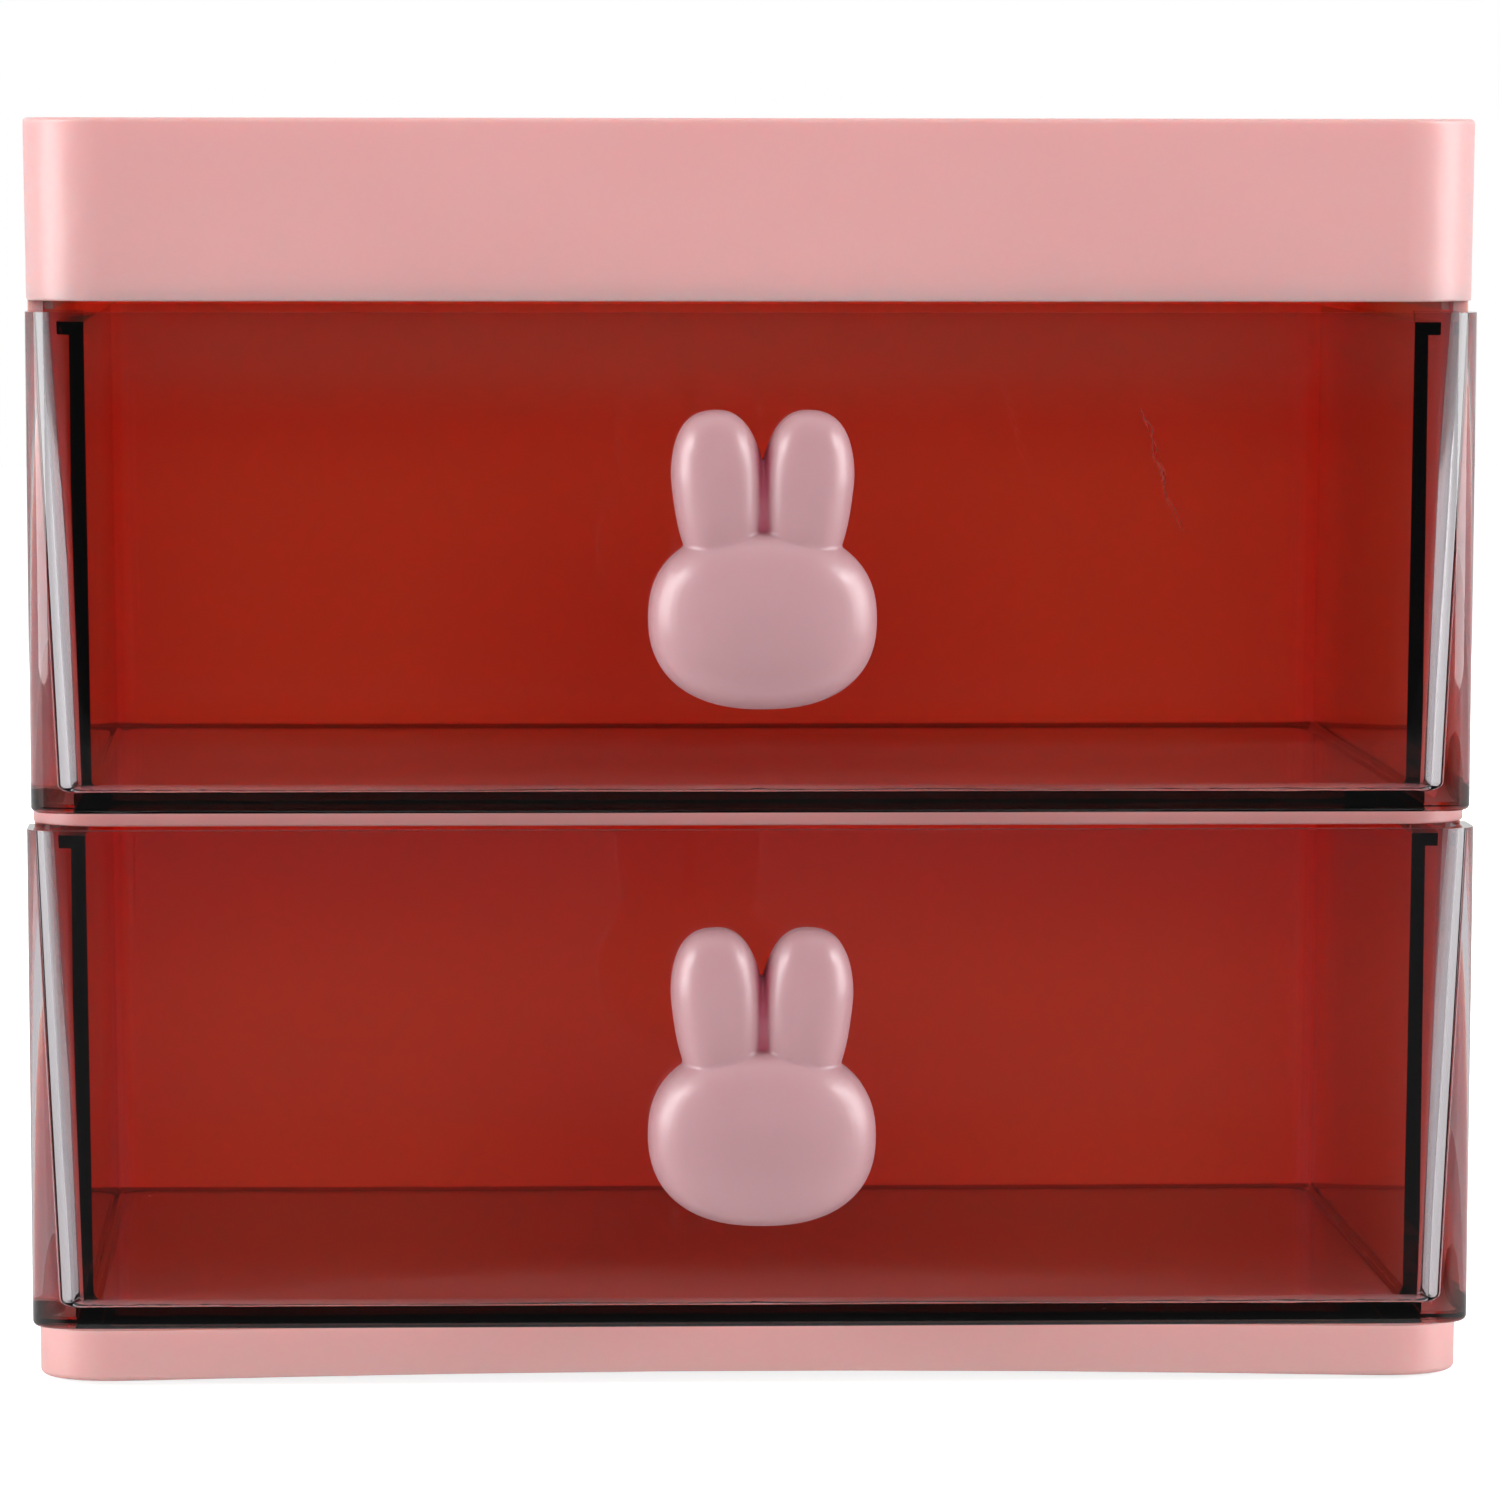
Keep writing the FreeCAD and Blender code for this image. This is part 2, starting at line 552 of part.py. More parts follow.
def knob_ear(name, side):
    """One ear: a soft tapering finger that stands on the head and leans outwards."""
    body = doc.addObject("PartDesign::Body", f"{name}_ear_{'right' if side > 0 else 'left'}")
    body.Placement = FreeCAD.Placement(Vector(), Rotation(Vector(0, 1, 0), side * value("sizes.ear_tilt")))
    body.setExpression("Placement.Rotation.Angle", "sizes.ear_tilt")
    body.setExpression("Placement.Base.x", f"sizes.knob_shift + {side} * sizes.ear_spread")
    body.setExpression("Placement.Base.y", DRAWER_FRONT)
    body.setExpression("Placement.Base.z", f"{HEAD_LEVEL} + sizes.head_height / 2 - sizes.ear_overlap")
    sketch = new_sketch(body, "ear_outline", "XZ_Plane")
    foot, radius = value("sizes.ear_foot") / 2, value("sizes.ear_width") / 2
    centre = Vector(0, value("sizes.ear_length") - radius)
    left, right = Vector(-foot, 0), Vector(foot, 0)
    tip = sketch.addGeometry(Part.Arc(centre + Vector(radius, 0), centre + Vector(0, radius),
                                      centre - Vector(radius, 0)))
    base = sketch.addGeometry(Part.LineSegment(left, right))
    rise = sketch.addGeometry(Part.LineSegment(right, centre + Vector(radius, 0)))
    fall = sketch.addGeometry(Part.LineSegment(centre - Vector(radius, 0), left))
    hold(sketch, "Coincident", base, 2, rise, 1)
    hold(sketch, "Coincident", fall, 2, base, 1)
    hold(sketch, "Tangent", rise, 2, tip, 1)
    hold(sketch, "Tangent", tip, 2, fall, 1)
    hold(sketch, "PointOnObject", tip, 3, -2)
    bind(sketch, "DistanceY", -1, 1, tip, 3, to="(sizes.ear_length - sizes.ear_width / 2)")
    bind(sketch, "Radius", tip, to="(sizes.ear_width / 2)")
    fix(sketch, base, 1, "(0 - sizes.ear_foot / 2)", "0")
    fix(sketch, base, 2, "(sizes.ear_foot / 2)", "0")
    pad(body, "ear", sketch, "sizes.ear_thickness")
    face = -value("sizes.ear_thickness")
    soften(body, "ear_crown", "sizes.ear_round",
           lambda edge: abs(edge.BoundBox.YMax - face) < 0.01 and edge.BoundBox.ZMax > 0.01)
    return body


def knob(name, level):
    """A rabbit-head knob with a pin behind it, and a pilot hole for its screw."""
    pin = rod(f"{name}_pin", "sizes.pin_diameter", "(sizes.pin_length + 1)", f"{DRAWER_FRONT} - 1",
              f"{HEAD_LEVEL} + sizes.pin_rise", forward=False)
    whole = doc.addObject("Part::MultiFuse", f"{name}_whole")
    whole.Shapes = [knob_head(name), knob_ear(name, -1), knob_ear(name, 1), pin]
    bite = "(sizes.screw_length - sizes.washer_thickness - sizes.front_wall)"
    hole = rod(f"{name}_pilot_hole", "(sizes.screw_diameter - sizes.thread_bite)",
               f"({bite} + sizes.pilot_spare)", DRAWER_FRONT, HEAD_LEVEL, forward=True)
    piece = doc.addObject("Part::Cut", name)
    piece.Base, piece.Tool = whole, hole
    piece.setExpression("Placement.Base.z", level)
    return piece


def screw(name, level):
    """A pan-head self-tapping screw whose bearing face is at its own origin."""
    body = doc.addObject("PartDesign::Body", name)
    sketch = new_sketch(body, "profile")
    shank, head = "(sizes.screw_diameter / 2)", "(sizes.screw_head_diameter / 2)"
    crown, length = "sizes.screw_head_height", "sizes.screw_length"
    polygon(sketch, [
        ("0", f"(0 - {length})"),
        (f"({shank} / 2)", f"(0 - {length})"),
        (shank, f"(sizes.screw_tip - {length})"),
        (shank, "0"),
        (head, "0"),
        (head, f"({crown} - sizes.screw_head_round)"),
        (f"({head} - sizes.screw_head_round)", crown),
        ("0", crown),
    ])
    turned = body.newObject("PartDesign::Revolution", "turned")
    turned.Profile = sketch
    turned.ReferenceAxis = (sketch, ["V_Axis"])
    turned.Angle = 360
    doc.recompute()
    for number, (wide, tall) in enumerate((("cross_span", "cross_width"), ("cross_width", "cross_span"))):
        half_wide, half_tall = f"(sizes.{wide} / 2)", f"(sizes.{tall} / 2)"
        slot = new_sketch(body, f"slot_outline_{number}", "XZ_Plane", out=f"(0 - {crown})")
        polygon(slot, [(half_wide, f"(0 - {half_tall})"), (half_wide, half_tall),
                       (f"(0 - {half_wide})", half_tall), (f"(0 - {half_wide})", f"(0 - {half_tall})")])
        pocket(body, f"slot_{number}", slot, "sizes.cross_depth", reverse=True)
    seat(body, f"({INNER_FACE} + sizes.washer_thickness)", level)
    return body


def washer(name, level):
    body = doc.addObject("PartDesign::Body", name)
    rings = circles(body, "ring", [("0", "0")],
                    ["sizes.washer_diameter", "(sizes.screw_diameter + sizes.screw_clearance)"], "XZ_Plane")
    pad(body, "disc", rings, "sizes.washer_thickness", reverse=True)
    seat(body, INNER_FACE, level)
    return body


def seat(body, along, level):
    """Put a piece on the screw's axis in the drawer at a level."""
    body.setExpression("Placement.Base.x", "sizes.knob_shift")
    body.setExpression("Placement.Base.y", along)
    body.setExpression("Placement.Base.z", f"{level} + {HEAD_LEVEL}")


pieces = [top_tray(), upper_case(), lower_case()]
pieces += [foot_pad(where, *centre) for where, centre in pad_centres().items()]
for tier, tier_level in (("upper", UPPER_DRAWER), ("lower", LOWER_DRAWER)):
    pieces.append(drawer(f"{tier}_drawer", tier_level))
    pieces.append(knob(f"{tier}_knob", tier_level))
    pieces.append(screw(f"{tier}_knob_screw", tier_level))
    pieces.append(washer(f"{tier}_knob_washer", tier_level))
doc.recompute()

for thing in doc.Objects:
    if "Invalid" in thing.State or "Error" in thing.State:
        raise RuntimeError(f"{thing.Name} failed: {thing.State}")
for piece in pieces:
    if piece.Shape.isNull() or not piece.Shape.isValid():
        raise RuntimeError(f"{piece.Label} has no valid shape")
for piece in pieces:
    piece.Shape.exportStep(f"parts/{piece.Label}.step")
    print(piece.Label, len(piece.Shape.Solids), "solid", round(piece.Shape.Volume, 1), "cubic millimetres")
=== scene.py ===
import math

import bmesh
import bpy
from mathutils import Matrix, Vector


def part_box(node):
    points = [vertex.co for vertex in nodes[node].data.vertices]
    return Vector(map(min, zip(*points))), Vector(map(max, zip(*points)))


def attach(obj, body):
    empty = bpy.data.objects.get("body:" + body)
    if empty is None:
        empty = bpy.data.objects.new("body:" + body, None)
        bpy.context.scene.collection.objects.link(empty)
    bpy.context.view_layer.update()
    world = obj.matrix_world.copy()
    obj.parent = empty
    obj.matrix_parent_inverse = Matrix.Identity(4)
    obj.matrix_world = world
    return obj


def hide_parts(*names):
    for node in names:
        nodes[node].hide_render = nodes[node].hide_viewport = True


MM = 0.001

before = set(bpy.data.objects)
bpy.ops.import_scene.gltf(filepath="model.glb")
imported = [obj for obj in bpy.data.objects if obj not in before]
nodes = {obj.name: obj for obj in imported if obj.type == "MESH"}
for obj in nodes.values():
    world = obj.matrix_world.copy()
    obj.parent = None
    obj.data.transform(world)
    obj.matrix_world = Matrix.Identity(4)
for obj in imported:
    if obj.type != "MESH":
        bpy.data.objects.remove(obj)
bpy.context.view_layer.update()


# Camera, at the photograph's place: low in front, a little to the left, with a long lens

PHOTO_WIDTH_PX = 1500
FOCAL_LENGTH_PX = 8991.4
SENSOR_WIDTH_MM = 36.0
CAMERA_PLACE_MM = (-46.64, -1165.8, 154.74)
YAW, PITCH, ROLL = math.radians(2.394), math.radians(3.924), math.radians(0.071)


def photograph_camera():
    data = bpy.data.cameras.new("camera")
    data.sensor_width = SENSOR_WIDTH_MM
    data.lens = FOCAL_LENGTH_PX / PHOTO_WIDTH_PX * SENSOR_WIDTH_MM
    data.clip_start = 0.05
    data.clip_end = 20.0
    camera = bpy.data.objects.new("camera", data)
    bpy.context.scene.collection.objects.link(camera)
    turn = (Matrix.Rotation(-YAW, 4, "Z") @ Matrix.Rotation(math.pi / 2 - PITCH, 4, "X")
            @ Matrix.Rotation(ROLL, 4, "Z"))
    camera.matrix_world = Matrix.Translation(Vector(CAMERA_PLACE_MM) * MM) @ turn
    bpy.context.scene.camera = camera


# Node helpers. A source is a socket or a plain value.

def new_material(name):
    material = bpy.data.materials.new(name)
    material.use_nodes = True
    tree = material.node_tree
    return material, tree, tree.nodes["Principled BSDF"], tree.nodes["Material Output"]


def feed(tree, socket, source):
    if isinstance(source, bpy.types.NodeSocket):
        tree.links.new(source, socket)
    else:
        socket.default_value = source


def maths(tree, operation, *sources):
    node = tree.nodes.new("ShaderNodeMath")
    node.operation = operation
    for socket, source in zip(node.inputs, sources):
        feed(tree, socket, source)
    return node.outputs[0]


def plus(tree, first, second):
    return maths(tree, "ADD", first, second)


def minus(tree, first, second):
    return maths(tree, "SUBTRACT", first, second)


def larger(tree, first, second):
    return maths(tree, "MAXIMUM", first, second)


def unsigned(tree, source):
    return maths(tree, "ABSOLUTE", source)


def times(tree, first, *others):
    product = first
    for other in others:
        product = maths(tree, "MULTIPLY", product, other)
    return product


def fade(tree, source, start, end, low=0.0, high=1.0):
    """A soft step: low up to the start, high from the end."""
    node = tree.nodes.new("ShaderNodeMapRange")
    node.interpolation_type = "SMOOTHSTEP"
    for socket, value in zip(node.inputs, (source, start, end, low, high)):
        feed(tree, socket, value)
    return node.outputs[0]


def fade_out(tree, source, start, end):
    """The soft step downwards: 1 up to the start, 0 from the end."""
    return fade(tree, source, start, end, 1.0, 0.0)


def band(tree, source, rise, fall):
    """1 between the rise and the fall, and 0 beyond them."""
    return times(tree, fade(tree, source, *rise), fade_out(tree, source, *fall))


def mixed(tree, amount, first, second):
    node = tree.nodes.new("ShaderNodeMix")
    node.data_type = "RGBA"
    feed(tree, node.inputs["Factor"], amount)
    feed(tree, node.inputs[6], first)
    feed(tree, node.inputs[7], second)
    return node.outputs[2]


def place(tree):
    """The place on the object, and its three parts in metres."""
    coords = tree.nodes.new("ShaderNodeTexCoord").outputs["Object"]
    split = tree.nodes.new("ShaderNodeSeparateXYZ")
    tree.links.new(coords, split.inputs[0])
    return coords, split.outputs[0], split.outputs[1], split.outputs[2]


def noise(tree, coords, scale, detail=2.0, roughness=0.5):
    node = tree.nodes.new("ShaderNodeTexNoise")
    feed(tree, node.inputs["Vector"], coords)
    node.inputs["Scale"].default_value = scale
    node.inputs["Detail"].default_value = detail
    node.inputs["Roughness"].default_value = roughness
    return node.outputs["Fac"]


def cloudy(tree, coords, scale, first, second):
    """Two near colours in large soft clouds."""
    return mixed(tree, fade(tree, noise(tree, coords, scale), 0.35, 0.65), first, second)


def specks(tree, coords, scale, size, share):
    """Sparse round specks: 1 inside a speck, and 0 between them."""
    cells = tree.nodes.new("ShaderNodeTexVoronoi")
    feed(tree, cells.inputs["Vector"], coords)
    cells.inputs["Scale"].default_value = scale
    split = tree.nodes.new("ShaderNodeSeparateColor")
    tree.links.new(cells.outputs["Color"], split.inputs[0])
    near = fade_out(tree, cells.outputs["Distance"], size * 0.6, size)
    kept = maths(tree, "LESS_THAN", split.outputs[0], share)
    return times(tree, near, kept)


def relief(tree, height, distance, strength):
    node = tree.nodes.new("ShaderNodeBump")
    feed(tree, node.inputs["Height"], height)
    node.inputs["Distance"].default_value = distance
    node.inputs["Strength"].default_value = strength
    return node.outputs["Normal"]


# Materials

WHITE = (1.0, 1.0, 1.0, 1.0)
PINK = (0.62, 0.38, 0.38, 1.0)
PINK_DEEP = (0.60, 0.365, 0.365, 1.0)
# Painted light: the base's front redder and lighter, for the light that the white floor sends up
FOOT_PAINTED_LIGHT_PINK = (0.72, 0.37, 0.36, 1.0)
# Painted shade: the band between the drawers darker, for the shade under the upper drawer's front
LIP_PAINTED_SHADE_PINK = (0.54, 0.25, 0.245, 1.0)
# Painted light: the coral, red and orange of the drawers' rooms stand for light glowing through the
# pink walls, which are pink inside too
PAINTED_GLOW_CORAL = (0.93, 0.36, 0.31, 1.0)
PAINTED_GLOW_RED = (0.96, 0.150, 0.045, 1.0)
PAINTED_GLOW_ORANGE = (0.99, 0.480, 0.280, 1.0)
CLEAR = (0.91, 0.89, 0.91, 1.0)
CLEAR_ALONG = (0.58, 0.54, 0.58, 1.0)
CLEAR_SHADOW = (0.97, 0.965, 0.965, 1.0)
KNOB_PINK = (0.51, 0.285, 0.31, 1.0)
KNOB_PINK_DEEP = (0.495, 0.275, 0.30, 1.0)
# Painted shade: the crease between the knob's ears, redder and darker
CREASE_SHADE_RED = (0.46, 0.10, 0.15, 1.0)
STEEL = (0.60, 0.60, 0.62, 1.0)
STEEL_DARK = (0.50, 0.50, 0.52, 1.0)
RUBBER = (0.66, 0.64, 0.62, 1.0)
RUBBER_DARK = (0.58, 0.56, 0.54, 1.0)

OPAQUE_IOR = 1.49
CLEAR_IOR = 1.52
FOG_DENSITY = 65.0
SCRATCH_STRENGTH = 0.6

# Lengths on the object are in metres, and the leans are lengths across per length up
SIDE_AT_FLOOR = 0.08838
BACK_AT_FLOOR = 0.07213
WALL_LEAN = 0.0082
REAR_CORNER = 0.010
KNOB_MIDDLE = 0.0009
TIER_HEIGHT = 0.0637
SCRATCH_PLACE = 0.0910
SCRATCH_LEAN = 0.36
SCRATCH_WANDER = 0.004

# Where soft steps on the object start and end
ROOM_FRONT = (-0.0485, -0.0420)
ROOM_FRONT_MIDDLE = (-0.0600, -0.0588)
MIDDLE_SIDES = (0.076, 0.079)
ROOM_FLOOR, ROOM_CEILING = (0.0066, 0.0072), (0.1342, 0.1347)
CORAL_BELOW_SKIN, RED_BELOW_SKIN = (0.0009, 0.0016), (0.0014, 0.0018)
RED_INWARD = (-0.0420, 0.0150)
RED_UPWARD = (0.114, 0.130)
# Where the painted floor light on the base and the painted shade on the band fade out towards the
# back
PAINTED_FRONT_SPAN = (-0.058, -0.035)
FOOT_TOP = (0.008, 0.014)
LIP_BOTTOM, LIP_TOP = (0.0655, 0.0665), (0.0714, 0.0724)
SCRATCH_WIDTH = (0.00004, 0.00011)
SCRATCH_BOTTOM, SCRATCH_TOP = (0.1050, 0.1070), (0.1200, 0.1220)
SCRATCH_FACE = (-0.0600, -0.0610)
CREASE_WIDTH = (0.0004, 0.0014)
CREASE_FACE = (-0.0695, -0.0685)
CREASE_BOTTOM = (0.0405, 0.0425)


def make_milky(plastic, weight, radius):
    """An opaque plastic into which light goes some way, and furthest in red."""
    plastic.inputs["IOR"].default_value = OPAQUE_IOR
    plastic.inputs["Subsurface Weight"].default_value = weight
    plastic.inputs["Subsurface Radius"].default_value = radius
    plastic.inputs["Subsurface Scale"].default_value = 1.0


def depth_below_skin(tree, across, y, z):
    """How far in from the outer faces, which lean outwards and meet in rounded rear corners."""
    lean = times(tree, z, WALL_LEAN)
    side = minus(tree, plus(tree, lean, SIDE_AT_FLOOR), across)
    back = minus(tree, plus(tree, lean, BACK_AT_FLOOR), y)
    near = [larger(tree, minus(tree, REAR_CORNER, gap), 0.0) for gap in (side, back)]
    corner = plus(tree, *(times(tree, gap, gap) for gap in near))
    return minus(tree, REAR_CORNER, maths(tree, "SQRT", corner))


def housing_plastic():
    """Pink moulded plastic, with painted light: its closed-in faces coral red for light glowing
    through the walls, and lighter and darker painted bands in front outside.
    """
    material, tree, plastic, _ = new_material("pink housing plastic")
    coords, x, y, z = place(tree)
    across = unsigned(tree, x)
    skin = depth_below_skin(tree, across, y, z)

    # The drawers' rooms, painted glow: coral from the front on, red further in, and paler orange
    # towards the top, where more light comes in
    middle = times(tree, fade(tree, y, *ROOM_FRONT_MIDDLE), fade_out(tree, across, *MIDDLE_SIDES))
    front = larger(tree, middle, fade(tree, y, *ROOM_FRONT))
    room = times(tree, front, band(tree, z, ROOM_FLOOR, ROOM_CEILING))
    painted_coral_glow = times(tree, room, fade(tree, skin, *CORAL_BELOW_SKIN))
    painted_red_glow = times(tree, room, fade(tree, y, *RED_INWARD), fade(tree, skin, *RED_BELOW_SKIN))
    painted_glow_red = mixed(tree, fade(tree, z, *RED_UPWARD), PAINTED_GLOW_RED, PAINTED_GLOW_ORANGE)

    # The outside: pink, with painted floor light on the base's front, and painted shade on the band
    # between the drawers
    ahead = fade_out(tree, y, *PAINTED_FRONT_SPAN)
    painted_foot_light = times(tree, fade_out(tree, z, *FOOT_TOP), ahead)
    painted_lip_shade = times(tree, band(tree, z, LIP_BOTTOM, LIP_TOP), ahead)
    colour = cloudy(tree, coords, 18.0, PINK, PINK_DEEP)
    for amount, other in ((painted_foot_light, FOOT_PAINTED_LIGHT_PINK), (painted_lip_shade, LIP_PAINTED_SHADE_PINK), (painted_coral_glow, PAINTED_GLOW_CORAL), (painted_red_glow, painted_glow_red)):
        colour = mixed(tree, amount, colour, other)

    feed(tree, plastic.inputs["Base Color"], colour)
    # The painted red glow also reflects less
    feed(tree, plastic.inputs["Specular IOR Level"], fade(tree, painted_red_glow, 0.0, 1.0, 0.8, 0.12))
    make_milky(plastic, 0.7, (0.0065, 0.0018, 0.0012))
    grain = noise(tree, coords, 900.0, 3.0)
    feed(tree, plastic.inputs["Roughness"], fade(tree, grain, 0.3, 0.7, 0.33, 0.41))
    feed(tree, plastic.inputs["Normal"], relief(tree, grain, 0.00002, 0.25))
    return material


def scratch_and_dust(tree, coords, x, y, z):
    """Specks of dust, and one faint scratch that wanders down the upper drawer's front."""
    dust = larger(tree, specks(tree, coords, 90.0, 0.035, 0.05),
                  specks(tree, coords, 40.0, 0.018, 0.06))
    wander = times(tree, minus(tree, noise(tree, coords, 220.0), 0.5), SCRATCH_WANDER)
    course = plus(tree, plus(tree, times(tree, z, SCRATCH_LEAN), x), wander)
    away = unsigned(tree, minus(tree, course, SCRATCH_PLACE))
    scratch = times(tree, fade_out(tree, away, *SCRATCH_WIDTH),
                    band(tree, z, SCRATCH_BOTTOM, SCRATCH_TOP), fade(tree, y, *SCRATCH_FACE))
    return larger(tree, dust, times(tree, scratch, SCRATCH_STRENGTH))


def clear_plastic():
    """Clear moulded plastic with a few marks on it, darker along the wall than through it."""
    material, tree, plastic, output = new_material("clear drawer plastic")
    coords, x, y, z = place(tree)
    marks = scratch_and_dust(tree, coords, x, y, z)
    feed(tree, plastic.inputs["Base Color"], mixed(tree, marks, CLEAR, WHITE))
    feed(tree, plastic.inputs["Roughness"], fade(tree, marks, 0.0, 1.0, 0.015, 1.0))
    plastic.inputs["Transmission Weight"].default_value = 1.0
    plastic.inputs["IOR"].default_value = CLEAR_IOR
    feed(tree, plastic.inputs["Normal"], relief(tree, noise(tree, coords, 26.0), 0.00004, 0.2))
    fog = tree.nodes.new("ShaderNodeVolumeAbsorption")
    fog.inputs["Color"].default_value = CLEAR_ALONG
    fog.inputs["Density"].default_value = FOG_DENSITY
    tree.links.new(fog.outputs[0], output.inputs["Volume"])

    # Lamps shine through it, so that what is behind it stays lit
    shade = tree.nodes.new("ShaderNodeBsdfTransparent")
    shade.inputs["Color"].default_value = CLEAR_SHADOW
    lets = tree.nodes.new("ShaderNodeMixShader")
    tree.links.new(tree.nodes.new("ShaderNodeLightPath").outputs["Is Shadow Ray"], lets.inputs[0])
    tree.links.new(plastic.outputs[0], lets.inputs[1])
    tree.links.new(shade.outputs[0], lets.inputs[2])
    tree.links.new(lets.outputs[0], output.inputs["Surface"])
    return material


def knob_plastic():
    """Pale pink plastic of the knobs, soft to the light, with painted shade in red in the crease
    between the ears.
    """
    material, tree, plastic, _ = new_material("pale pink knob plastic")
    coords, x, y, z = place(tree)
    across = unsigned(tree, minus(tree, x, KNOB_MIDDLE))
    above_tier = maths(tree, "MODULO", z, TIER_HEIGHT)
    # Painted shade in the crease between the ears, on each tier's knob
    painted_crease_shade = times(tree, fade_out(tree, across, *CREASE_WIDTH), fade(tree, y, *CREASE_FACE),
                   fade(tree, above_tier, *CREASE_BOTTOM))
    pale = cloudy(tree, coords, 60.0, KNOB_PINK, KNOB_PINK_DEEP)
    feed(tree, plastic.inputs["Base Color"], mixed(tree, painted_crease_shade, pale, CREASE_SHADE_RED))
    feed(tree, plastic.inputs["Specular IOR Level"], fade(tree, painted_crease_shade, 0.0, 1.0, 0.8, 0.1))
    make_milky(plastic, 0.3, (0.003, 0.0012, 0.0010))
    grain = noise(tree, coords, 1400.0, 3.0)
    feed(tree, plastic.inputs["Roughness"], fade(tree, grain, 0.3, 0.7, 0.30, 0.36))
    feed(tree, plastic.inputs["Normal"], relief(tree, grain, 0.000004, 0.05))
    return material


def plated_steel():
    """Plated steel of the screws and washers, lightly turned."""
    material, tree, metal, _ = new_material("plated steel")
    grain = noise(tree, place(tree)[0], 2500.0, 4.0)
    colour = mixed(tree, fade(tree, grain, 0.3, 0.7), STEEL, STEEL_DARK)
    feed(tree, metal.inputs["Base Color"], colour)
    metal.inputs["Metallic"].default_value = 1.0
    feed(tree, metal.inputs["Roughness"], fade(tree, grain, 0.3, 0.7, 0.22, 0.38))
    return material


def pad_rubber():
    """Soft pale rubber of the anti-slip pads."""
    material, tree, rubber, _ = new_material("pale pad rubber")
    grain = noise(tree, place(tree)[0], 1600.0, 3.0)
    colour = mixed(tree, fade(tree, grain, 0.3, 0.7), RUBBER, RUBBER_DARK)
    feed(tree, rubber.inputs["Base Color"], colour)
    rubber.inputs["Roughness"].default_value = 0.75
    feed(tree, rubber.inputs["Normal"], relief(tree, grain, 0.00005, 0.5))
    return material


# Pieces

SHARP_EDGE = math.radians(28)
NO_SHARP_EDGE = math.radians(180)
JOIN_DISTANCE = 0.002 * MM


def finished(name, bm, material, sharp=SHARP_EDGE):
    """The mesh as an object at the origin, smooth except along its sharp edges."""
    for edge in bm.edges:
        edge.smooth = len(edge.link_faces) == 2 and edge.calc_face_angle(0.0) < sharp
    for face in bm.faces:
        face.smooth = True
    mesh = bpy.data.meshes.new(name)
    bm.to_mesh(mesh)
    bm.free()
    mesh.materials.append(material)
    piece = bpy.data.objects.new(name, mesh)
    bpy.context.scene.collection.objects.link(piece)
    return piece


def moulding(node, name, material, body):
    """The moulding itself, with its faces joined up so that its rounds shade smoothly."""
    bm = bmesh.new()
    bm.from_mesh(nodes[node].data)
    bmesh.ops.remove_doubles(bm, verts=bm.verts, dist=JOIN_DISTANCE)
    piece = finished(name, bm, material)
    even = piece.modifiers.new("even shading", "WEIGHTED_NORMAL")
    even.keep_sharp = True
    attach(piece, body)
    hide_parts(node)


def pillow(bm, centre, half_width, half_height, wall, dome, squareness, painted_foot_light=1.0, tilt=0.0):
    """A domed button, flat behind on the plane of its centre: a wall, then a dome to the front.

    Its lengths are in millimetres. Towards its lower end it narrows to the share foot of its width.
    """
    ball = bmesh.ops.create_uvsphere(bm, u_segments=64, v_segments=32, radius=1.0,
                                     matrix=Matrix.Rotation(math.pi / 2, 4, "X"))["verts"]
    edges = dict.fromkeys(edge for v in ball for edge in v.link_edges)
    faces = dict.fromkeys(face for v in ball for face in v.link_faces)
    cut = bmesh.ops.bisect_plane(bm, geom=[*ball, *edges, *faces], dist=1e-5, plane_co=(0, 0, 0),
                                 plane_no=(0, 1, 0), clear_outer=True)["geom_cut"]
    half = [v for v in ball if v.is_valid] + [g for g in cut if isinstance(g, bmesh.types.BMVert)]
    half = list(dict.fromkeys(half))
    for v in half:
        reach = math.hypot(v.co.x, v.co.z)
        if reach > 1e-6:
            across, up = abs(v.co.x) / reach, abs(v.co.z) / reach
            swell = (across ** squareness + up ** squareness) ** (-1 / squareness)
            v.co.x *= swell
            v.co.z *= swell
        v.co.y = -abs(v.co.y) ** 0.8
        v.co.x *= painted_foot_light + (1 - painted_foot_light) * min(1.0, (v.co.z + 1) / 1.3)
    rim = [e for e in bm.edges if e.is_boundary and all(v in half for v in e.verts)]
    bmesh.ops.scale(bm, vec=(half_width * MM, dome * MM, half_height * MM), verts=half)
    bmesh.ops.translate(bm, vec=(0, -wall * MM, 0), verts=half)
    skirt = bmesh.ops.extrude_edge_only(bm, edges=rim)["geom"]
    back = [g for g in skirt if isinstance(g, bmesh.types.BMVert)]
    bmesh.ops.translate(bm, vec=(0, wall * MM, 0), verts=back)
    bmesh.ops.holes_fill(bm, edges=[e for e in bm.edges if e.is_boundary], sides=0)
    set_down = Matrix.Translation(centre) @ Matrix.Rotation(tilt, 4, "Y")
    bmesh.ops.transform(bm, matrix=set_down, verts=list(dict.fromkeys(half + back)))


